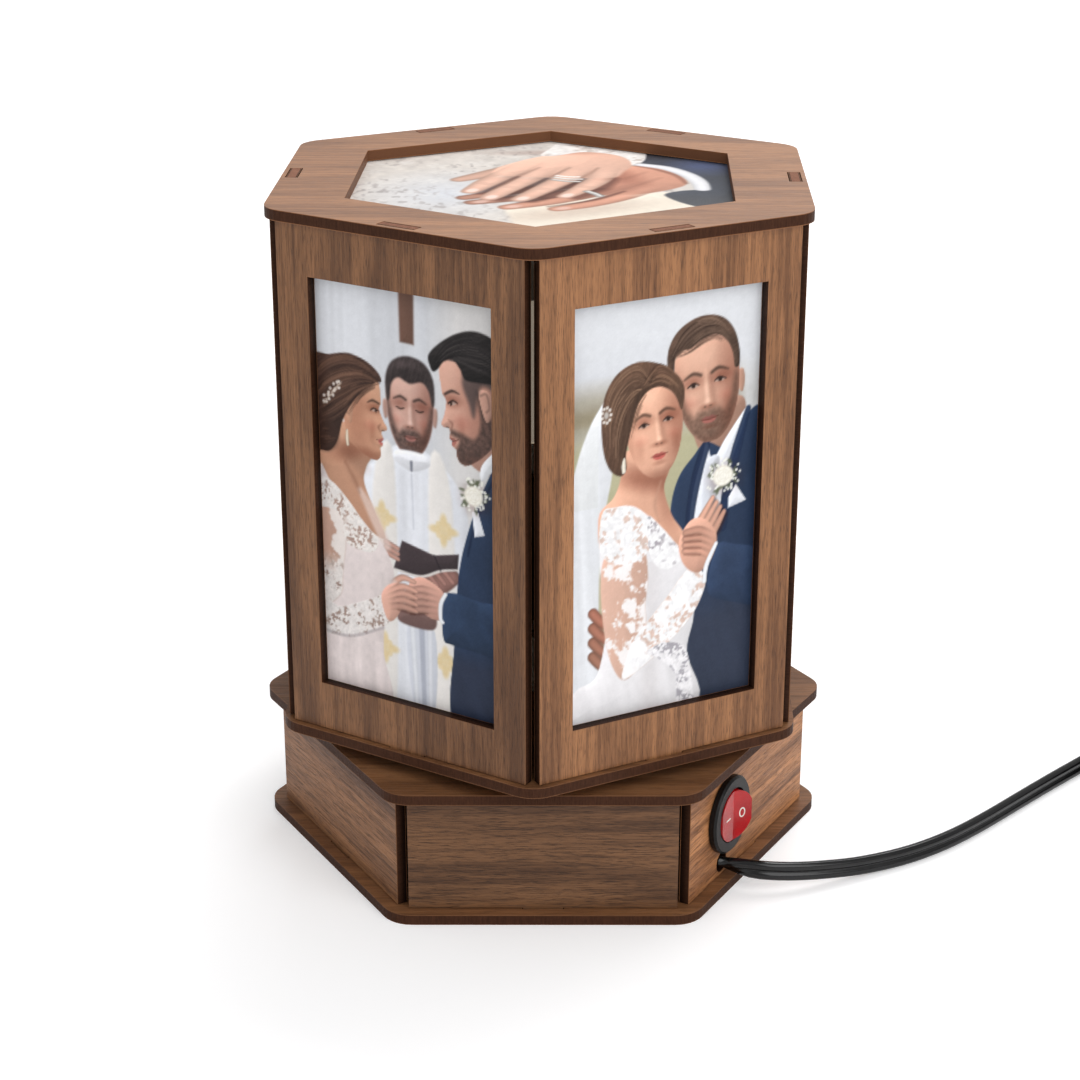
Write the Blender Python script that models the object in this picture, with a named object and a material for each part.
"""A rotating photo lamp: a laser-cut hexagonal lantern with seven picture windows,
driven by a geared motor in a fixed hexagonal base, with the lamp on a hollow tube
that stands still inside it.

Metres, +Z up, origin on the floor under the middle of the base. The front of the
base faces -Y. Every size below is written once and the rest follows from it.
"""
import math

import bmesh
import bpy
from mathutils import Matrix, Vector

MM = 0.001

# Boards
BOARD = 3.0 * MM                  # thickness of every laser-cut board
PLATE_RADIUS = 82.0 * MM          # hexagonal plates, centre to sharp corner
PLATE_CORNER = 9.0 * MM           # their rounded corners
LANTERN_INSIDE_HEIGHT = 142.0 * MM
BASE_OVERHANG = 3.7 * MM          # plate edge beyond the panels' outer face
LANTERN_OVERHANG = 1.5 * MM
CORNER_SLIT = 0.7 * MM            # between neighbouring panels' inner edges
TAB_WIDTH = 11.0 * MM             # one tab in the middle of each panel end
FIT = 0.3 * MM                    # between pieces that touch
LANTERN_TURN = math.radians(-2.0)  # how the lantern stands at rest

# Windows and picture sheets
WINDOW_STILE = 9.8 * MM
WINDOW_RAIL = 13.8 * MM
TOP_RING_WIDTH = 20.1 * MM
SHEET = 1.0 * MM
SHEET_LAP = 5.0 * MM              # picture sheet behind its window's edge

# Motor and gears
MOTOR_CAN_HEIGHT = 16.5 * MM
MOTOR_CAN_EDGE = 1.5 * MM
MOTOR_CLEARANCE = 1.3 * MM        # at least this between the can and the base panel
MOTOR_WASHER_GAP = 3.5 * MM       # at least this between the can and the lamp tube's washer
MOTOR_FLANGE = 1.2 * MM
MOTOR_BEARING = math.radians(90.0)  # where the motor stands, seen from above
EAR_RADIUS = 5.0 * MM
EAR_REACH = 4.0 * MM              # ear screws beyond the can's side
SHAFT_DIAMETER = 7.0 * MM
SHAFT_IN_MOTOR = 10.0 * MM
SHAFT_EDGE = 0.4 * MM
GEAR_MODULE = 1.25 * MM
PINION_TEETH = 16
PRESSURE_ANGLE = math.radians(20.0)
BACKLASH = 0.3 * MM               # at the pitch circle
GEAR_THICKNESS = 3.0 * MM
GEAR_CLEARANCE = 0.7 * MM         # under the gears
FLANK_STEPS = 3

# Lamp tube and hub
TUBE_DIAMETER = 10.0 * MM
TUBE_WALL = 1.5 * MM
TUBE_PROUD = 5.0 * MM             # tube below its lower nut
NUT_WALL = 2.0 * MM
TUBE_NUT_HEIGHT = 3.0 * MM
WASHER_RIM = 4.0 * MM
WASHER = 1.0 * MM
HUB_WALL = 4.0 * MM
HUB_FLANGE = 2.5 * MM
HUB_ABOVE = 9.0 * MM              # sleeve above the flange
HUB_LAND = 9.0 * MM               # flange beyond the gear's bore
HUB_SCREWS = 3
COLLAR_STEP = 1.0 * MM            # collar beyond the hub's sleeve
COLLAR_HEIGHT = 1.6 * MM
COLLAR_CLEARANCE = 2.0 * MM       # collar to the gear's bore
THRUST_WASHER = 0.8 * MM

# Small screws
SCREW_DIAMETER = 3.0 * MM
SCREW_HEAD = 5.6 * MM
SCREW_HEAD_HEIGHT = 1.7 * MM
SCREW_HEAD_EDGE = 0.5 * MM
SCREW_END = 1.0 * MM              # motor screw below its ear

# Lamp holder and lamp
HOLDER_NECK_WALL = 2.5 * MM
HOLDER_WALL = 6.5 * MM
HOLDER_EDGE = 1.0 * MM
HOLDER_THREAD = 9.0 * MM          # how far the tube screws in
HOLDER_WEB = 6.0 * MM             # between the tube and the contacts
HOLDER_ABOVE_CAP = 4.0 * MM
SLEEVE = 0.5 * MM
SLEEVE_BELOW_CAP_TOP = 4.0 * MM
CAP_DIAMETER = 14.0 * MM
CAP_LENGTH = 26.0 * MM
CAP_TIP = 5.0 * MM
CAP_SHOULDER = 4.0 * MM
NECK_FLARE = 3.0 * MM             # step of the lamp's neck over the holder's mouth
NECK_HEIGHT = 16.0 * MM
GLOBE_DIAMETER = 45.0 * MM
GLOBE_WALL = 1.2 * MM
GLOBE_INSET = 3.5 * MM            # neck's top inside the globe's widest place

# Switch
SWITCH_SIDE = -14.5 * MM          # along its panel, towards the front
SWITCH_LAND = 5.2 * MM            # from its hole up to the base top plate
BARREL_DIAMETER = 19.4 * MM
BARREL_DEPTH = 13.0 * MM
BEZEL_LIP = 1.55 * MM             # bezel beyond the barrel
BEZEL = 2.0 * MM
BEZEL_EDGE = 0.6 * MM
SWITCH_WALL = 1.7 * MM
CAVITY_DEPTH = 6.0 * MM
PIVOT_DIAMETER = 1.6 * MM
PIVOT_LAND = 0.4 * MM             # over the pivot's socket
ROCKER_CLEARANCE = 0.5 * MM
ROCKER_DEPTH = 2.5 * MM           # body below the pivot
ROCKER_PROUD = 1.7 * MM           # valley above the pivot
ROCKER_TIP_ANGLE = math.radians(24.0)
ROCKER_SWING = math.radians(20.0)
BLADE_WIDTH = 4.8 * MM
BLADE = 0.8 * MM
BLADE_LENGTH = 8.0 * MM
BLADE_INSET = 5.2 * MM            # blade's middle in from the barrel's side

# Cord, clamp and terminals
CORD_WIDTH = 5.6 * MM             # flat twin cord, standing on its narrow edge
CORD_HOLE_DIAMETER = 6.2 * MM
CORD_HOLE_SIDE = -16.5 * MM
CORD_HOLE_LAND = 0.85 * MM        # over the base bottom plate
HOLE_SPACING = 1.25 * MM          # from the cord's hole to the switch's
TAIL_THICKNESS = 2.8 * MM         # the cord lies flat inside the base
TAIL_STRAIGHT = 8.0 * MM          # straight stretches at the hole, clamp and block
TAIL_POINT_SPACING = 3.0 * MM
CLAMP_INSET = 20.0 * MM           # behind the switch panel's outer face
CLAMP_BAR = 1.6 * MM
CLAMP_CHEEK = 1.5 * MM
CLAMP_ROOF = 2.8 * MM
SCREW_SEAT_EDGE = 0.7 * MM        # clamp foot round its screw's head
BLOCK_X = -16.0 * MM
BLOCK_Y = -22.0 * MM
BLOCK_HEIGHT = 12.0 * MM
BLOCK_PITCH = 9.0 * MM
BLOCK_WELL = 4.4 * MM             # the screw wells
BLOCK_EDGE = 2.3 * MM

# Coil of the unseen length, and the plug
CORD_GAP = 0.5 * MM               # between neighbouring turns
CORD_REST = 0.02 * MM             # under the cord where it lies on the floor
CORD_LAST_STRAIGHT = 12.0 * MM
CORD_POINT_STEP = 2.2             # free cord's points, in cord widths
COIL_MEAN_RADIUS = 34.0 * MM
COIL_TURNS = 7.5
COIL_LAYERS = 2
POINTS_PER_TURN = 24
COIL_LEAD = 6.0 * MM
COIL_TAIL = 22.0 * MM
COIL_TAIL_STEPS = 6
PLUG_LENGTH = 34.0 * MM
PLUG_WIDTH = 26.0 * MM
PLUG_THICKNESS = 13.6 * MM
PLUG_TAPER = 14.0 * MM
PLUG_NECK_LENGTH = 14.0 * MM
PLUG_NECK_DIAMETER = 9.0 * MM
PLUG_NECK_WALL = 0.4 * MM         # neck round the cord where it enters
PLUG_ROUNDNESS = 0.6              # 1 is an oval section, less is squarer
PIN_DIAMETER = 4.0 * MM
PIN_LENGTH = 19.0 * MM
PIN_SPACING = 19.0 * MM
PIN_EDGE = 0.6 * MM

# The cord's own route across the floor, chosen by hand from its hole:
# x and y in millimetres, and its height as a share of the hole's height over the floor
CORD_ROUTE = (
    (4.2, -2.4, 1.0), (9.8, -4.3, 0.95), (16.5, -4.2, 0.82), (23.3, -2.5, 0.62),
    (30.0, 0.0, 0.41), (36.6, 2.8, 0.21), (42.8, 5.7, 0.09), (49.0, 8.8, 0.02),
    (55.2, 12.2, 0.0), (61.6, 16.4, 0.0), (68.1, 21.4, 0.0), (74.9, 27.5, 0.0),
    (81.9, 34.4, 0.0), (89.3, 42.1, 0.0), (96.8, 49.9, 0.0), (104.2, 57.5, 0.0),
    (111.8, 65.1, 0.0), (120.1, 73.4, 0.0), (128.4, 81.7, 0.0),
)

# Widths that follow
SIDES = 6
SIDE_STEP = 2.0 * math.pi / SIDES
HALF_STEP = SIDE_STEP / 2.0
SWITCH_BEARING = -HALF_STEP
PLATE_FLAT = PLATE_RADIUS * math.cos(HALF_STEP)
BASE_FACE = PLATE_FLAT - BASE_OVERHANG
LANTERN_FACE = PLATE_FLAT - LANTERN_OVERHANG
HUB_DIAMETER = TUBE_DIAMETER + 2.0 * HUB_WALL
COLLAR_DIAMETER = HUB_DIAMETER + 2.0 * COLLAR_STEP
GEAR_BORE = COLLAR_DIAMETER + 2.0 * COLLAR_CLEARANCE
HUB_FLANGE_DIAMETER = GEAR_BORE + 2.0 * HUB_LAND
HUB_SCREW_RADIUS = (GEAR_BORE + HUB_LAND) / 2.0
BEZEL_DIAMETER = BARREL_DIAMETER + 2.0 * BEZEL_LIP
ROCKER_DIAMETER = BARREL_DIAMETER - 2.0 * (SWITCH_WALL + ROCKER_CLEARANCE)
SCREW_HOLE = SCREW_DIAMETER / 2.0 + FIT
CLAMP_FOOT = SCREW_HEAD + 2.0 * SCREW_SEAT_EDGE
BLOCK_SIDE = BLOCK_PITCH + BLOCK_WELL + 2.0 * BLOCK_EDGE
NECK_TOP_DIAMETER = GLOBE_DIAMETER - 2.0 * GLOBE_INSET
LAYER_STEP = CORD_WIDTH + CORD_GAP

# Motor that follows: a whole number of millimetres across, between the washer and the panel
WASHER_RADIUS = TUBE_DIAMETER / 2.0 + WASHER_RIM
MOTOR_REACH = BASE_FACE - BOARD - MOTOR_CLEARANCE
MOTOR_DIAMETER = math.floor((MOTOR_REACH - WASHER_RADIUS - MOTOR_WASHER_GAP) / MM) * MM

# Gears that follow: the lantern's has as many teeth as the motor's place leaves room for
MOTOR_ROOM = MOTOR_REACH - MOTOR_DIAMETER / 2.0
LANTERN_TEETH = math.floor(2.0 * MOTOR_ROOM / GEAR_MODULE) - PINION_TEETH
CENTRE_DISTANCE = GEAR_MODULE * (LANTERN_TEETH + PINION_TEETH) / 2.0
MOTOR_AT = Vector((math.cos(MOTOR_BEARING), math.sin(MOTOR_BEARING), 0.0)) * CENTRE_DISTANCE

# Heights that follow
FLOOR = BOARD
CORD_HOLE_HEIGHT = FLOOR + CORD_HOLE_LAND + CORD_HOLE_DIAMETER / 2.0
SWITCH_HOLE = BARREL_DIAMETER / 2.0 + FIT
SWITCH_HEIGHT = CORD_HOLE_HEIGHT + CORD_HOLE_DIAMETER / 2.0 + HOLE_SPACING + SWITCH_HOLE
BASE_TOP_LOW = SWITCH_HEIGHT + SWITCH_HOLE + SWITCH_LAND
BASE_TOP = BASE_TOP_LOW + BOARD
GEAR_LOW = BASE_TOP + GEAR_CLEARANCE
GEAR_TOP = GEAR_LOW + GEAR_THICKNESS
LANTERN_LOW = GEAR_TOP + FIT
LANTERN_FLOOR = LANTERN_LOW + BOARD
LANTERN_CEILING = LANTERN_FLOOR + LANTERN_INSIDE_HEIGHT
COLLAR_LOW = BASE_TOP + FIT
WASHER_LOW = COLLAR_LOW + COLLAR_HEIGHT + FIT
HUB_LOW = WASHER_LOW + THRUST_WASHER + FIT
FLANGE_LOW = LANTERN_FLOOR + FIT
FLANGE_TOP = FLANGE_LOW + HUB_FLANGE
HUB_TOP = FLANGE_TOP + HUB_ABOVE
LOCK_WASHER_LOW = HUB_TOP + FIT
LOCK_NUT_LOW = LOCK_WASHER_LOW + WASHER + FIT
HOLDER_LOW = LOCK_NUT_LOW + TUBE_NUT_HEIGHT + FIT
TUBE_TOP = HOLDER_LOW + HOLDER_THREAD
LOWER_WASHER_LOW = BASE_TOP_LOW - FIT - WASHER
LOWER_NUT_LOW = LOWER_WASHER_LOW - FIT - TUBE_NUT_HEIGHT
TUBE_LOW = LOWER_NUT_LOW - TUBE_PROUD
MOTOR_FLANGE_TOP = BASE_TOP_LOW - FIT
MOTOR_FLANGE_LOW = MOTOR_FLANGE_TOP - MOTOR_FLANGE
CAN_TOP = MOTOR_FLANGE_LOW - FIT
SHAFT_LOW = CAN_TOP - SHAFT_IN_MOTOR
BEZEL_FRONT = FIT + BEZEL         # over the switch panel's outer face
PIVOT_BORE = PIVOT_DIAMETER / 2.0 + FIT
PIVOT_HEIGHT = BEZEL_FRONT - PIVOT_LAND - PIVOT_BORE


def clear_scene():
    for item in list(bpy.data.objects):
        bpy.data.objects.remove(item, do_unlink=True)


def material(name, colour, roughness, metallic=0.0):
    """The named material, made once."""
    found = bpy.data.materials.get(name)
    if found:
        return found
    made = bpy.data.materials.new(name)
    made.use_nodes = True
    shader = made.node_tree.nodes["Principled BSDF"]
    shader.inputs["Base Color"].default_value = (*colour, 1.0)
    shader.inputs["Roughness"].default_value = roughness
    shader.inputs["Metallic"].default_value = metallic
    return made


def walnut():
    return material("walnut_board", (0.20, 0.105, 0.055), 0.55)


def picture_film():
    return material("picture_film", (0.72, 0.70, 0.66), 0.35)


def acrylic():
    return material("clear_acrylic", (0.80, 0.82, 0.82), 0.15)


def steel():
    return material("zinc_plated_steel", (0.62, 0.62, 0.60), 0.35, 1.0)


def brass():
    return material("brass", (0.78, 0.60, 0.28), 0.30, 1.0)


def black_plastic():
    return material("black_plastic", (0.035, 0.037, 0.037), 0.45)


def red_plastic():
    return material("red_plastic", (0.60, 0.03, 0.03), 0.25)


def white_plastic():
    return material("white_plastic", (0.80, 0.80, 0.78), 0.40)


def opal():
    return material("opal_globe", (0.90, 0.88, 0.84), 0.30)


def cord_rubber():
    return material("cord_sheath", (0.03, 0.03, 0.032), 0.50)


def empty(name, location=(0.0, 0.0, 0.0), rotation=(0.0, 0.0, 0.0), parent=None):
    """An axis or a frame that pieces are parented to."""
    made = bpy.data.objects.new(name, None)
    bpy.context.scene.collection.objects.link(made)
    return place(made, location, rotation, parent)


def link(name, mesh, surface):
    made = bpy.data.objects.new(name, mesh)
    bpy.context.scene.collection.objects.link(made)
    if not mesh.materials:
        mesh.materials.append(surface)
    return made


def place(piece, location=(0.0, 0.0, 0.0), rotation=(0.0, 0.0, 0.0), parent=None):
    piece.location = location
    piece.rotation_euler = rotation
    piece.parent = parent
    return piece


def copies(name, mesh, places, surface, parent=None):
    """One object for each place, all sharing a mesh."""
    made = []
    for index, spot in enumerate(places):
        piece = link("%s_%d" % (name, index + 1), mesh, surface)
        made.append(place(piece, spot, parent=parent))
    return made


def shade_round(mesh):
    mesh.shade_smooth()
    mesh.set_sharp_from_angle(angle=math.radians(35.0))


def polar(radius, angle):
    return (radius * math.cos(angle), radius * math.sin(angle))


def upright(*heights):
    return [Vector((0.0, 0.0, height)) for height in heights]


def circle(radius, centre=(0.0, 0.0), steps=32):
    """Points round a circle, anticlockwise."""
    turns = (2.0 * math.pi * index / steps for index in range(steps))
    return [(centre[0] + radius * math.cos(turn), centre[1] + radius * math.sin(turn)) for turn in turns]


def rectangle(width, height, centre=(0.0, 0.0)):
    signs = ((-1, -1), (1, -1), (1, 1), (-1, 1))
    return [(centre[0] + sx * width / 2.0, centre[1] + sy * height / 2.0) for sx, sy in signs]


def turned_points(points, angle):
    cosine, sine = math.cos(angle), math.sin(angle)
    return [(x * cosine - y * sine, x * sine + y * cosine) for x, y in points]


def hexagon(radius, corner=0.0, first=0.0, steps=6):
    """A regular hexagon with its first corner at the given angle and rounded corners."""
    if corner <= 0.0:
        return [polar(radius, first + index * SIDE_STEP) for index in range(SIDES)]
    points = []
    for index in range(SIDES):
        bearing = first + index * SIDE_STEP
        centre = polar(radius - corner / math.cos(HALF_STEP), bearing)
        for step in range(steps + 1):
            x, y = polar(corner, bearing - HALF_STEP + SIDE_STEP * step / steps)
            points.append((centre[0] + x, centre[1] + y))
    return points


def board_mesh(name, outline, holes, low, high, smooth=False):
    """A flat board between two heights, with the holes cut through it."""
    mesh = bpy.data.meshes.new(name)
    shape = bmesh.new()
    for loop in [outline, *holes]:
        corners = [shape.verts.new((x, y, low)) for x, y in loop]
        for index, corner in enumerate(corners):
            shape.edges.new((corner, corners[(index + 1) % len(corners)]))
    bmesh.ops.triangle_fill(shape, use_beauty=True, use_dissolve=False, edges=shape.edges[:])
    raised = bmesh.ops.extrude_face_region(shape, geom=shape.faces[:])["geom"]
    lifted = [item for item in raised if isinstance(item, bmesh.types.BMVert)]
    bmesh.ops.translate(shape, vec=(0.0, 0.0, high - low), verts=lifted)
    bmesh.ops.recalc_face_normals(shape, faces=shape.faces[:])
    shape.to_mesh(mesh)
    shape.free()
    if smooth:
        shade_round(mesh)
    return mesh


def turned_mesh(name, profile, closed=False, steps=32):
    """A profile of radius and height turned round +Z; a closed one makes a ring."""
    mesh = bpy.data.meshes.new(name)
    shape = bmesh.new()
    corners = [shape.verts.new((radius, 0.0, height)) for radius, height in profile]
    edges = [shape.edges.new(pair) for pair in zip(corners, corners[1:])]
    if closed:
        edges.append(shape.edges.new((corners[-1], corners[0])))
    bmesh.ops.spin(shape, geom=corners + edges, cent=(0, 0, 0), axis=(0, 0, 1),
                   angle=2.0 * math.pi, steps=steps)
    bmesh.ops.remove_doubles(shape, verts=shape.verts[:], dist=0.000001)
    bmesh.ops.recalc_face_normals(shape, faces=shape.faces[:])
    shape.to_mesh(mesh)
    shape.free()
    shade_round(mesh)
    return mesh


def tube_mesh(name, outer, inner, low, high, steps=32):
    profile = [(inner, low), (outer, low), (outer, high), (inner, high)]
    return turned_mesh(name, profile, closed=True, steps=steps)


def disc_mesh(name, radius, low, high, steps=32, chamfer=0.0):
    """A solid round bar, with both edges taken off where it has a chamfer."""
    if chamfer > 0.0:
        side = [(radius - chamfer, low), (radius, low + chamfer),
                (radius, high - chamfer), (radius - chamfer, high)]
    else:
        side = [(radius, low), (radius, high)]
    return turned_mesh(name, [(0.0, low), *side, (0.0, high)], steps=steps)


def nut_mesh(name, across, bore, low, high):
    outline = hexagon(across / 2.0 / math.cos(HALF_STEP))
    return board_mesh(name, outline, [circle(bore, steps=24)], low, high)


def cutter(name, mesh, location=(0.0, 0.0, 0.0), rotation=(0.0, 0.0, 0.0), parent=None):
    made = bpy.data.objects.new(name, mesh)
    bpy.context.scene.collection.objects.link(made)
    made.hide_render = True
    made.display_type = "WIRE"
    return place(made, location, rotation, parent)


def boolean(piece, tool, operation):
    change = piece.modifiers.new(tool.name, "BOOLEAN")
    change.operation = operation
    change.solver = "EXACT"
    change.object = tool
    return piece


def panel_width(face):
    """Width of a panel whose outer face stands this far from the middle."""
    inner_side = 2.0 * (face - BOARD) * math.tan(HALF_STEP)
    return inner_side - CORNER_SLIT / math.sin(SIDE_STEP)


def slot(face, bearing):
    """The slot in a plate for one panel's tab."""
    middle = face - BOARD / 2.0
    width = BOARD + 2.0 * FIT
    outline = rectangle(width, TAB_WIDTH + 2.0 * FIT, (middle, 0.0))
    return turned_points(outline, bearing)


def plate(name, face, low, holes=(), first=0.0):
    """A hexagonal plate with one tab slot along each side."""
    slots = [slot(face, first + HALF_STEP + index * SIDE_STEP) for index in range(SIDES)]
    outline = hexagon(PLATE_RADIUS, PLATE_CORNER, first)
    mesh = board_mesh(name, outline, slots + list(holes), low, low + BOARD)
    return link(name, mesh, walnut())


def panel(name, face, bearing, floor, height, holes=()):
    """An upright board with a tab at each end; its outer face looks along its bearing."""
    half_width = panel_width(face) / 2.0
    half_tab = TAB_WIDTH / 2.0
    low, high = FIT, height - FIT
    tab_low, tab_high = -BOARD, height + BOARD
    outline = [
        (-half_width, low), (-half_tab, low), (-half_tab, tab_low), (half_tab, tab_low),
        (half_tab, low), (half_width, low), (half_width, high), (half_tab, high),
        (half_tab, tab_high), (-half_tab, tab_high), (-half_tab, high), (-half_width, high),
    ]
    mesh = board_mesh(name, outline, list(holes), -BOARD, 0.0)
    location = (*polar(face, bearing), floor)
    return place(link(name, mesh, walnut()), location, (math.pi / 2.0, 0.0, bearing + math.pi / 2.0))


def panel_point(face, bearing, side, height):
    """A point on a panel's outer face."""
    normal = Vector((math.cos(bearing), math.sin(bearing), 0.0))
    along = Vector((-math.sin(bearing), math.cos(bearing), 0.0))
    return normal * face + along * side + Vector((0.0, 0.0, height))


def build_base():
    plate("base_bottom_plate", BASE_FACE, 0.0)
    shaft_hole = circle(SHAFT_DIAMETER / 2.0 + 2.0 * FIT, MOTOR_AT.xy, 24)
    tube_hole = circle(TUBE_DIAMETER / 2.0 + FIT, steps=24)
    top = plate("base_top_plate", BASE_FACE, BASE_TOP_LOW, [shaft_hole, tube_hole])
    for index, spot in enumerate(ear_centres()):
        boolean(top, ear_sink("ear_sink_%d" % (index + 1), spot), "DIFFERENCE")
    switch_hole = circle(SWITCH_HOLE, (SWITCH_SIDE, SWITCH_HEIGHT - FLOOR), 40)
    cord_hole = circle(CORD_HOLE_DIAMETER / 2.0, (CORD_HOLE_SIDE, CORD_HOLE_HEIGHT - FLOOR), 20)
    names = ("switch", "back_right", "back", "back_left", "front_left", "front")
    for index, side_name in enumerate(names):
        holes = [switch_hole, cord_hole] if side_name == "switch" else []
        bearing = SWITCH_BEARING + index * SIDE_STEP
        panel("base_panel_" + side_name, BASE_FACE, bearing, FLOOR, BASE_TOP_LOW - FLOOR, holes)


def ear_centres():
    """Middle of each motor ear, on both sides of the motor's axis."""
    across = Vector((-math.sin(MOTOR_BEARING), math.cos(MOTOR_BEARING), 0.0))
    reach = MOTOR_DIAMETER / 2.0 + EAR_REACH
    return [MOTOR_AT + across * side * reach for side in (-1.0, 1.0)]


def ear_sink(name, centre):
    """The countersunk hole of a motor screw in the base top plate."""
    head = SCREW_HEAD / 2.0 + FIT
    past = BOARD / 4.0
    profile = [
        (0.0, BASE_TOP_LOW - past), (SCREW_HOLE, BASE_TOP_LOW - past),
        (SCREW_HOLE, BASE_TOP - SCREW_HEAD_HEIGHT - FIT), (head, BASE_TOP), (head, BASE_TOP + past),
        (0.0, BASE_TOP + past),
    ]
    return cutter(name, turned_mesh(name, profile, steps=20), (centre.x, centre.y, 0.0))


def build_motor():
    radius = MOTOR_DIAMETER / 2.0
    can_low = CAN_TOP - MOTOR_CAN_HEIGHT
    bore = SHAFT_DIAMETER / 2.0 + FIT
    can_profile = [
        (0.0, can_low), (radius - MOTOR_CAN_EDGE, can_low), (radius, can_low + MOTOR_CAN_EDGE),
        (radius, CAN_TOP), (bore, CAN_TOP), (bore, SHAFT_LOW - FIT), (0.0, SHAFT_LOW - FIT),
    ]
    place(link("motor_can", turned_mesh("motor_can", can_profile, steps=40), steel()), MOTOR_AT)
    reach = radius + EAR_REACH
    ear_holes = [circle(SCREW_HOLE, (side * reach, 0.0), 16) for side in (-1.0, 1.0)]
    holes = [circle(bore, steps=24), *ear_holes]
    outline = flange_outline(radius, reach)
    mesh = board_mesh("motor_flange", outline, holes, MOTOR_FLANGE_LOW, MOTOR_FLANGE_TOP, True)
    place(link("motor_flange", mesh, steel()), MOTOR_AT, (0.0, 0.0, MOTOR_BEARING - math.pi / 2.0))
    screw = countersunk_screw(BASE_TOP, MOTOR_FLANGE_LOW - SCREW_END)
    copies("motor_screw", screw, ear_centres(), steel())


def flange_outline(radius, reach):
    """A round plate with an ear on each side, joined by straight tangents."""
    lean = math.acos((radius - EAR_RADIUS) / reach)
    ear_steps, side_steps = 10, 14
    stretches = (
        (EAR_RADIUS, reach, -lean, lean, ear_steps),
        (radius, 0.0, lean, math.pi - lean, side_steps),
        (EAR_RADIUS, -reach, math.pi - lean, math.pi + lean, ear_steps),
        (radius, 0.0, math.pi + lean, 2.0 * math.pi - lean, side_steps),
    )
    points = []
    for size, centre, start, end, steps in stretches:
        for step in range(steps + 1):
            x, y = polar(size, start + (end - start) * step / steps)
            points.append((centre + x, y))
    return points


def countersunk_screw(top, low):
    shank = SCREW_DIAMETER / 2.0
    profile = [
        (0.0, low), (shank, low), (shank, top - SCREW_HEAD_HEIGHT), (SCREW_HEAD / 2.0, top), (0.0, top),
    ]
    return turned_mesh("countersunk_screw", profile, steps=16)


def pan_screw(seat, low):
    """A screw whose round head stands on its seat and whose shank reaches down to low."""
    shank, head = SCREW_DIAMETER / 2.0, SCREW_HEAD / 2.0
    top = seat + SCREW_HEAD_HEIGHT
    profile = [
        (0.0, low), (shank, low), (shank, seat), (head, seat), (head, top - SCREW_HEAD_EDGE),
        (head - SCREW_HEAD_EDGE, top), (0.0, top),
    ]
    return turned_mesh("pan_screw", profile, steps=16)


def involute(angle):
    return math.tan(angle) - angle


def gear_outline(teeth, phase):
    """Involute teeth, thinned for the backlash; a tooth's middle stands at the phase."""
    pitch = GEAR_MODULE * teeth / 2.0
    root = pitch - 1.25 * GEAR_MODULE
    tip = pitch + GEAR_MODULE
    base = pitch * math.cos(PRESSURE_ANGLE)
    half_tooth = math.pi / (2.0 * teeth) - BACKLASH / (4.0 * pitch)
    start = max(base, root)
    flank = []
    for step in range(FLANK_STEPS + 1):
        radius = start + (tip - start) * step / FLANK_STEPS
        spread = half_tooth + involute(PRESSURE_ANGLE) - involute(math.acos(base / radius))
        flank.append((radius, spread))
    if root < base:
        flank.insert(0, (root, (3.0 * flank[0][1] + math.pi / teeth) / 4.0))
    points = []
    for tooth in range(teeth):
        middle = phase + 2.0 * math.pi * tooth / teeth
        points += [polar(radius, middle - spread) for radius, spread in flank]
        points += [polar(radius, middle + spread) for radius, spread in reversed(flank)]
    return points


def build_drive():
    """The motor's shaft and pinion, turning about the motor's axis."""
    axis = empty("motor_axis", MOTOR_AT)
    radius = SHAFT_DIAMETER / 2.0
    shaft = disc_mesh("motor_shaft", radius, SHAFT_LOW, GEAR_TOP - FIT, 24, SHAFT_EDGE)
    place(link("motor_shaft", shaft, steel()), parent=axis)
    lantern_phase = (LANTERN_TURN - MOTOR_BEARING) * LANTERN_TEETH
    phase = MOTOR_BEARING + math.pi + (math.pi - lantern_phase) / PINION_TEETH
    bore = circle(radius + FIT, steps=24)
    mesh = board_mesh("drive_pinion", gear_outline(PINION_TEETH, phase), [bore], GEAR_LOW, GEAR_TOP)
    place(link("drive_pinion", mesh, acrylic()), parent=axis)


def build_lamp_tube():
    radius = TUBE_DIAMETER / 2.0
    clear = radius + FIT
    tube = tube_mesh("lamp_tube", radius, radius - TUBE_WALL, TUBE_LOW, TUBE_TOP, 24)
    link("lamp_tube", tube, steel())
    washer = tube_mesh("tube_washer", WASHER_RADIUS, clear, 0.0, WASHER, 24)
    nut = nut_mesh("tube_nut", TUBE_DIAMETER + 2.0 * NUT_WALL, clear, 0.0, TUBE_NUT_HEIGHT)
    copies("tube_washer", washer, upright(LOWER_WASHER_LOW, LOCK_WASHER_LOW), steel())
    copies("tube_nut", nut, upright(LOWER_NUT_LOW, LOCK_NUT_LOW), steel())
    rim = COLLAR_DIAMETER / 2.0
    collar = tube_mesh("thrust_collar", rim, clear, COLLAR_LOW, COLLAR_LOW + COLLAR_HEIGHT)
    link("thrust_collar", collar, steel())
    thrust = tube_mesh("thrust_washer", rim - FIT, clear, WASHER_LOW, WASHER_LOW + THRUST_WASHER)
    link("thrust_washer", thrust, white_plastic())


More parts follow.
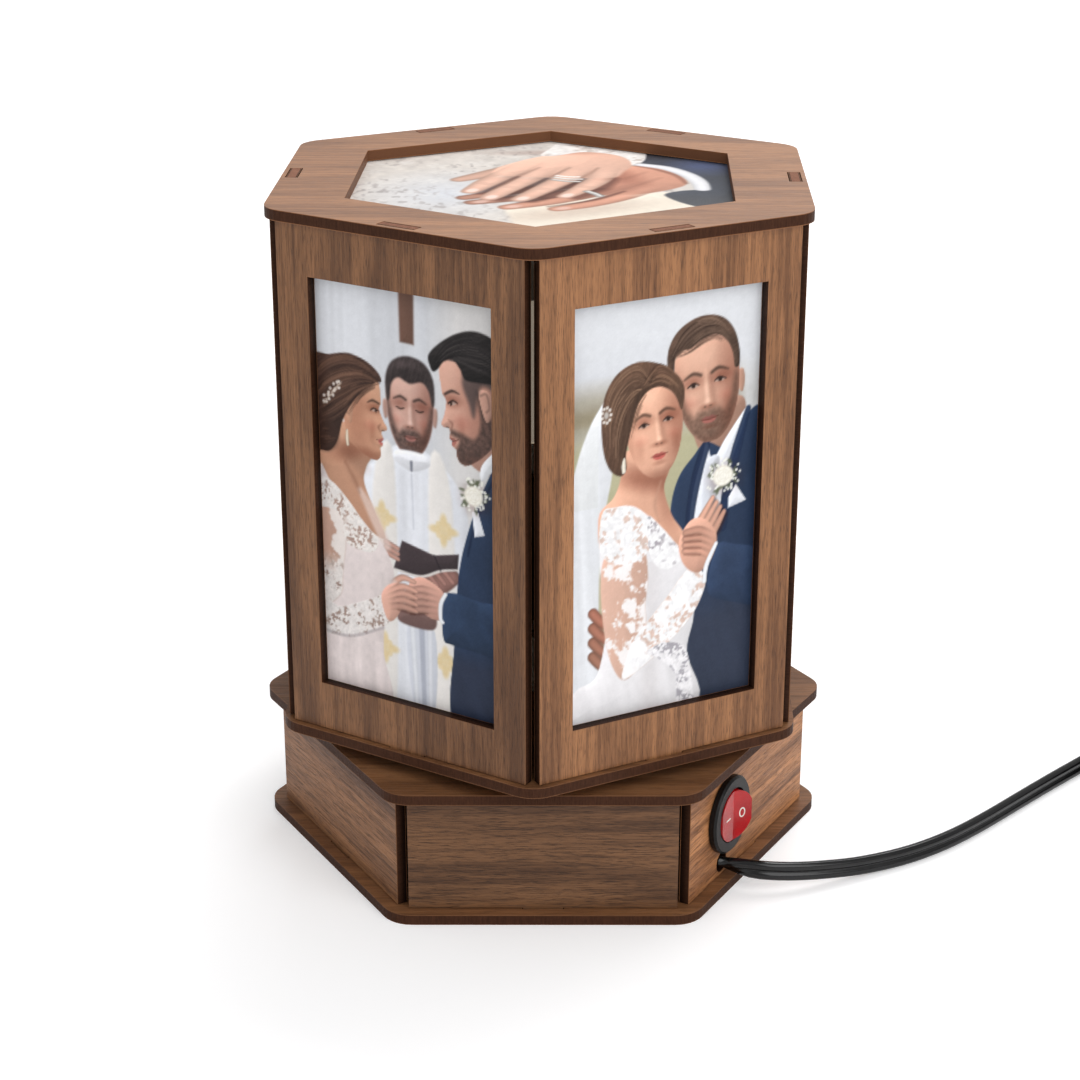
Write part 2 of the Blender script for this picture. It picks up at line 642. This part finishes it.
def build_lamp():
    """The lamp holder on top of the tube, and the lamp that stands in it."""
    cap = CAP_DIAMETER / 2.0
    contact_low = HOLDER_LOW + HOLDER_THREAD + HOLDER_WEB + FIT
    cap_top = contact_low + CAP_LENGTH
    holder_top = cap_top + HOLDER_ABOVE_CAP
    sleeve_outer = cap + FIT + SLEEVE
    build_holder(sleeve_outer + FIT, contact_low - FIT, holder_top)
    sleeve_top = cap_top - SLEEVE_BELOW_CAP_TOP
    sleeve = tube_mesh("holder_contact", sleeve_outer, sleeve_outer - SLEEVE, contact_low, sleeve_top)
    link("holder_contact", sleeve, brass())
    cap_profile = [
        (0.0, contact_low), (CAP_TIP / 2.0, contact_low), (cap, contact_low + CAP_SHOULDER),
        (cap, cap_top), (0.0, cap_top),
    ]
    link("lamp_cap", turned_mesh("lamp_cap", cap_profile), brass())
    neck_low = cap_top + FIT
    neck_top = neck_low + NECK_HEIGHT
    seat = holder_top + FIT
    neck_profile = [
        (0.0, neck_low), (cap, neck_low), (cap, seat), (cap + NECK_FLARE, seat),
        (NECK_TOP_DIAMETER / 2.0, neck_top), (0.0, neck_top),
    ]
    link("lamp_neck", turned_mesh("lamp_neck", neck_profile), white_plastic())
    build_globe(neck_top + FIT)


def build_holder(mouth, floor, top):
    """A turned holder: a threaded neck below, a deep mouth above."""
    tube = TUBE_DIAMETER / 2.0 + FIT
    neck = TUBE_DIAMETER / 2.0 + HOLDER_NECK_WALL
    body = CAP_DIAMETER / 2.0 + HOLDER_WALL
    profile = [
        (0.0, TUBE_TOP + FIT), (tube, TUBE_TOP + FIT), (tube, HOLDER_LOW), (neck, HOLDER_LOW),
        (body, TUBE_TOP), (body, top - HOLDER_EDGE), (body - HOLDER_EDGE, top),
        (mouth, top), (mouth, floor), (0.0, floor),
    ]
    link("lamp_holder", turned_mesh("lamp_holder", profile), black_plastic())


def build_globe(low):
    """A thin round globe, open below where the lamp's neck closes it."""
    radius = GLOBE_DIAMETER / 2.0
    inner = radius - GLOBE_WALL
    drop = math.sqrt(radius ** 2 - (NECK_TOP_DIAMETER / 2.0) ** 2)
    middle = low + drop
    steps = 10
    profile = [(0.0, middle + radius)]
    profile += globe_arc(radius, math.asin(drop / radius), steps, middle)
    profile += reversed(globe_arc(inner, math.asin(drop / inner), steps, middle))
    profile.append((0.0, middle + inner))
    link("lamp_globe", turned_mesh("lamp_globe", profile, steps=28), opal())


def globe_arc(radius, below, steps, middle):
    """Points down a globe's side, from near its top to the given angle below its middle."""
    points = []
    for step in range(1, steps + 1):
        angle = math.pi / 2.0 - (math.pi / 2.0 + below) * step / steps
        out, up = polar(radius, angle)
        points.append((out, middle + up))
    return points


def hub_screw_places():
    return [polar(HUB_SCREW_RADIUS, 2.0 * math.pi * index / HUB_SCREWS) for index in range(HUB_SCREWS)]


def build_lantern():
    """Everything that turns with the lantern, about the lamp tube's axis."""
    axis = empty("lantern_axis", rotation=(0.0, 0.0, LANTERN_TURN))
    screw_holes = [circle(SCREW_HOLE, centre, 16) for centre in hub_screw_places()]
    hub_hole = circle(HUB_DIAMETER / 2.0 + FIT)
    first = math.pi / 2.0
    low = plate("lantern_bottom_plate", LANTERN_FACE, LANTERN_LOW, [hub_hole, *screw_holes], first)
    ring_flat = PLATE_FLAT - TOP_RING_WIDTH
    ring_window = hexagon(ring_flat / math.cos(HALF_STEP), first=first)
    top = plate("lantern_top_plate", LANTERN_FACE, LANTERN_CEILING, [ring_window], first)
    low.parent = axis
    top.parent = axis
    for index in range(SIDES):
        build_lantern_side(index + 1, first + HALF_STEP + index * SIDE_STEP, axis)
    cover = hexagon((ring_flat + SHEET_LAP) / math.cos(HALF_STEP), first=first)
    cover_top = LANTERN_CEILING - FIT
    cover_mesh = board_mesh("picture_sheet_top", cover, [], cover_top - SHEET, cover_top)
    place(link("picture_sheet_top", cover_mesh, picture_film()), parent=axis)
    gear_holes = [circle(GEAR_BORE / 2.0), *screw_holes]
    gear = board_mesh("lantern_gear", gear_outline(LANTERN_TEETH, 0.0), gear_holes, GEAR_LOW, GEAR_TOP)
    place(link("lantern_gear", gear, acrylic()), parent=axis)
    build_hub(axis)


def build_lantern_side(number, bearing, axis):
    """One window panel and the picture sheet behind it."""
    width = panel_width(LANTERN_FACE) - 2.0 * WINDOW_STILE
    height = LANTERN_INSIDE_HEIGHT - 2.0 * WINDOW_RAIL
    middle = (0.0, LANTERN_INSIDE_HEIGHT / 2.0)
    window = rectangle(width, height, middle)
    frame = panel("lantern_panel_%d" % number, LANTERN_FACE, bearing, LANTERN_FLOOR,
                  LANTERN_INSIDE_HEIGHT, [window])
    frame.parent = axis
    name = "picture_sheet_%d" % number
    outline = rectangle(width + 2.0 * SHEET_LAP, height + 2.0 * SHEET_LAP, middle)
    sheet = link(name, board_mesh(name, outline, [], -SHEET, 0.0), picture_film())
    location = (*polar(LANTERN_FACE - BOARD - FIT, bearing), LANTERN_FLOOR)
    place(sheet, location, (math.pi / 2.0, 0.0, bearing + math.pi / 2.0), axis)


def build_hub(axis):
    """The flanged sleeve that the lantern turns on, and its screws."""
    flange = HUB_FLANGE_DIAMETER / 2.0
    sleeve = HUB_DIAMETER / 2.0
    bore = TUBE_DIAMETER / 2.0 + FIT
    profile = [
        (bore, HUB_LOW), (sleeve, HUB_LOW), (sleeve, FLANGE_LOW), (flange, FLANGE_LOW),
        (flange, FLANGE_TOP), (sleeve, FLANGE_TOP), (sleeve, HUB_TOP), (bore, HUB_TOP),
    ]
    hub = link("lantern_hub", turned_mesh("lantern_hub", profile, closed=True), white_plastic())
    hub.parent = axis
    low, high = FLANGE_LOW - HUB_FLANGE / 2.0, FLANGE_TOP + HUB_FLANGE / 2.0
    places = [(x, y, 0.0) for x, y in hub_screw_places()]
    for index, spot in enumerate(places):
        name = "hub_hole_%d" % (index + 1)
        tool = cutter(name, disc_mesh(name, SCREW_HOLE, low, high, 16), spot, parent=axis)
        boolean(hub, tool, "DIFFERENCE")
    screw = pan_screw(FLANGE_TOP + FIT, GEAR_LOW + FIT)
    copies("hub_screw", screw, places, steel(), axis)


def build_switch():
    """The round housing in its panel's hole, the rocker on its pivot, and the terminals."""
    spot = panel_point(BASE_FACE, SWITCH_BEARING, SWITCH_SIDE, SWITCH_HEIGHT)
    # The frame's Z points out of the panel and its Y points up
    frame = empty("switch_frame", spot, (math.pi / 2.0, 0.0, SWITCH_BEARING + math.pi / 2.0))
    bezel, barrel = BEZEL_DIAMETER / 2.0, BARREL_DIAMETER / 2.0
    cavity = barrel - SWITCH_WALL
    profile = [
        (0.0, -BARREL_DEPTH), (barrel, -BARREL_DEPTH), (barrel, FIT), (bezel, FIT),
        (bezel, BEZEL_FRONT - BEZEL_EDGE), (bezel - BEZEL_EDGE, BEZEL_FRONT),
        (cavity, BEZEL_FRONT), (cavity, -CAVITY_DEPTH), (0.0, -CAVITY_DEPTH),
    ]
    housing = link("switch_housing", turned_mesh("switch_housing", profile, steps=40), black_plastic())
    housing.parent = frame
    reach = cavity + SWITCH_WALL / 2.0
    socket = disc_mesh("pivot_socket", PIVOT_BORE, -reach, reach, 16)
    lying = (math.pi / 2.0, 0.0, 0.0)
    tool = cutter("pivot_socket", socket, (0.0, 0.0, PIVOT_HEIGHT), lying, frame)
    boolean(housing, tool, "DIFFERENCE")
    build_rocker(frame, reach - FIT)
    blade = board_mesh("blade", rectangle(BLADE, BLADE_WIDTH), [], -BLADE_LENGTH, 0.0)
    back = -BARREL_DEPTH - FIT
    spots = [(side * (barrel - BLADE_INSET), 0.0, back) for side in (-1.0, 1.0)]
    copies("switch_terminal", blade, spots, brass(), frame)


def build_rocker(frame, stub_reach):
    """A round rocker with a shallow valley across its face, on two pivot stubs."""
    pivot = empty("rocker_axis", (0.0, 0.0, PIVOT_HEIGHT), (0.0, -ROCKER_SWING / 2.0, 0.0), frame)
    radius = ROCKER_DIAMETER / 2.0
    bottom = -math.asin(ROCKER_DEPTH / radius)
    arc_steps = 8
    right = []
    for step in range(arc_steps + 1):
        angle = ROCKER_TIP_ANGLE + (bottom - ROCKER_TIP_ANGLE) * step / arc_steps
        right.append(polar(radius, angle))
    left = [(-x, z) for x, z in reversed(right)]
    mesh = board_mesh("switch_rocker", [(0.0, ROCKER_PROUD), *right, *left], [], -radius, radius)
    mesh.transform(Matrix.Rotation(math.pi / 2.0, 4, "X"))
    rocker = link("switch_rocker", mesh, red_plastic())
    rocker.parent = pivot
    reach = 2.0 * radius
    round_mesh = disc_mesh("rocker_round", radius, -reach, reach, 40)
    boolean(rocker, cutter("rocker_round", round_mesh, parent=pivot), "INTERSECT")
    stub_mesh = disc_mesh("rocker_stubs", PIVOT_DIAMETER / 2.0, -stub_reach, stub_reach, 12)
    stubs = cutter("rocker_stubs", stub_mesh, rotation=(math.pi / 2.0, 0.0, 0.0), parent=pivot)
    boolean(rocker, stubs, "UNION")


def cord_line():
    """The way out of the switch panel, and the middle of the cord's hole in its outer face."""
    outward = Vector((math.cos(SWITCH_BEARING), math.sin(SWITCH_BEARING), 0.0))
    hole = panel_point(BASE_FACE, SWITCH_BEARING, CORD_HOLE_SIDE, CORD_HOLE_HEIGHT)
    return outward, hole


def build_terminal_block():
    low = FLOOR + FIT
    half = BLOCK_PITCH / 2.0
    wells = [circle(BLOCK_WELL / 2.0, (sx * half, sy * half), 16) for sx in (-1, 1) for sy in (-1, 1)]
    outline = rectangle(BLOCK_SIDE, BLOCK_SIDE)
    mesh = board_mesh("terminal_block", outline, wells, low, low + BLOCK_HEIGHT)
    place(link("terminal_block", mesh, white_plastic()), (BLOCK_X, BLOCK_Y, 0.0))


def build_clamp():
    """A bridge over the cord, screwed to the base's floor at both ends."""
    outward, hole = cord_line()
    middle = hole - outward * CLAMP_INSET
    low = FLOOR + FIT
    inner = CORD_WIDTH / 2.0 + FIT
    cheek = inner + CLAMP_CHEEK
    end = cheek + CLAMP_FOOT
    bar = low + CLAMP_BAR
    under = CORD_HOLE_HEIGHT + TAIL_THICKNESS / 2.0 + FIT
    top = under + CLAMP_ROOF
    right = [(inner, low), (end, low), (end, bar), (cheek, bar), (cheek, top)]
    left = [(-x, height) for x, height in reversed(right)]
    outline = [(inner, under), *right, *left, (-inner, under)]
    mesh = board_mesh("cord_clamp", outline, [], -CLAMP_FOOT / 2.0, CLAMP_FOOT / 2.0)
    mesh.transform(Matrix.Rotation(math.pi / 2.0, 4, "X"))
    across = SWITCH_BEARING + math.pi / 2.0
    clamp = place(link("cord_clamp", mesh, white_plastic()), middle.xy.to_3d(), (0.0, 0.0, across))
    foot = (cheek + end) / 2.0
    spots = [middle.xy.to_3d() + Vector((*polar(side * foot, across), 0.0)) for side in (-1.0, 1.0)]
    for index, spot in enumerate(spots):
        name = "clamp_hole_%d" % (index + 1)
        hole_mesh = disc_mesh(name, SCREW_HOLE, low - CLAMP_BAR, bar + CLAMP_BAR, 16)
        boolean(clamp, cutter(name, hole_mesh, spot), "DIFFERENCE")
    copies("clamp_screw", pan_screw(bar + FIT, low), spots, steel())


def smooth_points(points, spacing):
    """Evenly spaced points on a smooth curve through the given ones."""
    ends = [points[0] * 2.0 - points[1], *points, points[-1] * 2.0 - points[-2]]
    fine = []
    per_span = 16
    for before, start, end, after in zip(ends, ends[1:], ends[2:], ends[3:]):
        for step in range(per_span):
            share = step / per_span
            fine.append(0.5 * (2.0 * start + (end - before) * share
                               + (2.0 * before - 5.0 * start + 4.0 * end - after) * share ** 2
                               + (3.0 * start - before - 3.0 * end + after) * share ** 3))
    fine.append(points[-1])
    count = max(2, round(run_length(fine) / spacing))
    wanted = run_length(fine) / count
    even, walked = [fine[0]], 0.0
    for start, end in zip(fine, fine[1:]):
        step = (end - start).length
        while walked + step >= wanted * len(even) and len(even) < count:
            even.append(start + (end - start) * ((wanted * len(even) - walked) / step))
        walked += step
    even.append(fine[-1])
    return even


def run_length(points):
    return sum((end - start).length for start, end in zip(points, points[1:]))


def tube_curve(name, points, diameter, resolution):
    """A round tube along the points, with closed ends."""
    curve = bpy.data.curves.new(name, "CURVE")
    curve.dimensions = "3D"
    curve.bevel_depth = diameter / 2.0
    curve.bevel_resolution = resolution
    curve.use_fill_caps = True
    spline = curve.splines.new("POLY")
    spline.points.add(len(points) - 1)
    for target, point in zip(spline.points, points):
        target.co = (*point, 1.0)
    curve.materials.append(cord_rubber())
    bpy.context.scene.collection.objects.link(bpy.data.objects.new(name, curve))


def build_cord_tail():
    """The cord's end inside the base, through the clamp to the terminal block."""
    outward, hole = cord_line()
    clamp = hole - outward * CLAMP_INSET
    straight = outward * TAIL_STRAIGHT
    block = Vector((BLOCK_X + BLOCK_SIDE / 2.0 + FIT, BLOCK_Y, CORD_HOLE_HEIGHT))
    near_block = block + Vector((TAIL_STRAIGHT, 0.0, 0.0))
    route = [hole - outward * FIT, hole - straight, clamp, clamp - straight, near_block, block]
    tube_curve("cord_tail", smooth_points(route, TAIL_POINT_SPACING), TAIL_THICKNESS, 2)


def build_cord():
    """The cord's free length across the floor, its coil and its plug."""
    outward, hole = cord_line()
    resting = CORD_WIDTH / 2.0 + CORD_REST
    fall = hole.z - resting
    route = [hole + outward * FIT]
    for x, y, share in CORD_ROUTE:
        route.append(Vector((hole.x + x * MM, hole.y + y * MM, resting + fall * share)))
    heading = (route[-1] - route[-2]).normalized()
    end = route[-1] + heading * CORD_LAST_STRAIGHT
    points = smooth_points([*route, end], CORD_POINT_STEP * CORD_WIDTH)
    tube_curve("power_cord", points, CORD_WIDTH, 2)
    coil, finish, direction = coil_points(end + heading * FIT, heading)
    tube_curve("power_cord_coil", coil, CORD_WIDTH, 1)
    gap = (least_self_distance(coil) - CORD_WIDTH) / MM
    print("cord: free %.3f m, coiled %.3f m, least gap in the coil %.2f mm"
          % (run_length(points), run_length(coil), gap))
    build_plug(finish, direction)


def smooth_step(value):
    value = min(1.0, max(0.0, value))
    return value * value * (3.0 - 2.0 * value)


def coil_points(start, heading):
    """Turns that spiral in on the floor, climb, and spiral out again on top."""
    outer = COIL_MEAN_RADIUS + LAYER_STEP * COIL_TURNS / COIL_LAYERS / 2.0
    first = math.atan2(heading.y, heading.x) + math.pi / 2.0
    enter = start + heading * COIL_LEAD
    centre = enter - Vector((*polar(outer, first), 0.0))
    half_way = COIL_TURNS / 2.0
    points = [start, start + heading * COIL_LEAD / 2.0]
    for index in range(round(COIL_TURNS * POINTS_PER_TURN) + 1):
        turn = index / POINTS_PER_TURN
        wound = turn if turn <= half_way else COIL_TURNS - turn
        climb = smooth_step((turn - half_way) * 2.0 + 0.5)
        x, y = polar(outer - LAYER_STEP * wound, first - 2.0 * math.pi * turn)
        points.append(centre + Vector((x, y, LAYER_STEP * climb)))
    last_angle = first - 2.0 * math.pi * COIL_TURNS
    direction = Vector((math.sin(last_angle), -math.cos(last_angle), 0.0))
    last = points[-1]
    drop = last.z - PLUG_THICKNESS / 2.0
    bend = 1.0 - COIL_LEAD / COIL_TAIL
    for step in range(1, COIL_TAIL_STEPS + 1):
        share = step / COIL_TAIL_STEPS
        lowered = Vector((0.0, 0.0, drop * smooth_step(share / bend)))
        points.append(last + direction * COIL_TAIL * share - lowered)
    return points, points[-1] + direction * FIT, direction


def least_self_distance(points):
    """Least distance between stretches of the coil that aren't neighbours along it."""
    least = COIL_MEAN_RADIUS
    apart = POINTS_PER_TURN // 2
    for index, point in enumerate(points):
        for start, end in zip(points[index + apart:], points[index + apart + 1:]):
            share = (point - start).dot(end - start) / (end - start).length_squared
            nearest = start.lerp(end, min(1.0, max(0.0, share)))
            least = min(least, (point - nearest).length)
    return least


def plug_sections():
    """Reach, half width and half thickness of the plug's sections, from the cord outwards."""
    entry = CORD_WIDTH / 2.0 + PLUG_NECK_WALL
    neck = PLUG_NECK_DIAMETER / 2.0
    wide, thick = PLUG_WIDTH / 2.0, PLUG_THICKNESS / 2.0
    shoulder = PLUG_NECK_LENGTH + PLUG_TAPER / 2.0
    return (
        (0.0, entry, entry),
        (PLUG_NECK_LENGTH, neck, neck),
        (shoulder, (neck + 2.0 * wide) / 3.0, (neck + 3.0 * thick) / 4.0),
        (PLUG_NECK_LENGTH + PLUG_TAPER, wide, thick),
        (PLUG_NECK_LENGTH + PLUG_LENGTH, wide, thick),
    )


def plug_ring(half_width, half_height, steps=20):
    """A rounded rectangle: an oval with its corners pushed out."""
    ring = []
    for step in range(steps):
        cosine, sine = polar(1.0, 2.0 * math.pi * (step + 0.5) / steps)
        ring.append((math.copysign(abs(cosine) ** PLUG_ROUNDNESS, cosine) * half_width,
                     math.copysign(abs(sine) ** PLUG_ROUNDNESS, sine) * half_height))
    return ring


def build_plug(start, direction):
    """A two-pin plug lying flat beside the coil."""
    bearing = math.atan2(direction.y, direction.x)
    frame = Matrix.Translation(start) @ Matrix.Rotation(bearing, 4, "Z")
    mesh = bpy.data.meshes.new("power_plug")
    shape = bmesh.new()
    loops = []
    for reach, half_width, half_height in plug_sections():
        corners = [shape.verts.new((reach, y, z)) for y, z in plug_ring(half_width, half_height)]
        loops.append(corners)
    for near, far in zip(loops, loops[1:]):
        for step in range(len(near)):
            following = (step + 1) % len(near)
            shape.faces.new((near[step], near[following], far[following], far[step]))
    shape.faces.new(loops[0])
    shape.faces.new(loops[-1])
    bmesh.ops.recalc_face_normals(shape, faces=shape.faces[:])
    shape.to_mesh(mesh)
    shape.free()
    mesh.transform(frame)
    shade_round(mesh)
    link("power_plug", mesh, black_plastic())
    face = PLUG_NECK_LENGTH + PLUG_LENGTH + FIT
    pin = disc_mesh("plug_pin", PIN_DIAMETER / 2.0, 0.0, PIN_LENGTH, 16, PIN_EDGE)
    spots = [frame @ Vector((face, side * PIN_SPACING / 2.0, 0.0)) for side in (-1.0, 1.0)]
    for piece in copies("plug_pin", pin, spots, steel()):
        piece.rotation_euler = (0.0, math.pi / 2.0, bearing)


def main():
    clear_scene()
    build_base()
    build_motor()
    build_drive()
    build_lamp_tube()
    build_lamp()
    build_lantern()
    build_switch()
    build_terminal_block()
    build_clamp()
    build_cord_tail()
    build_cord()


main()
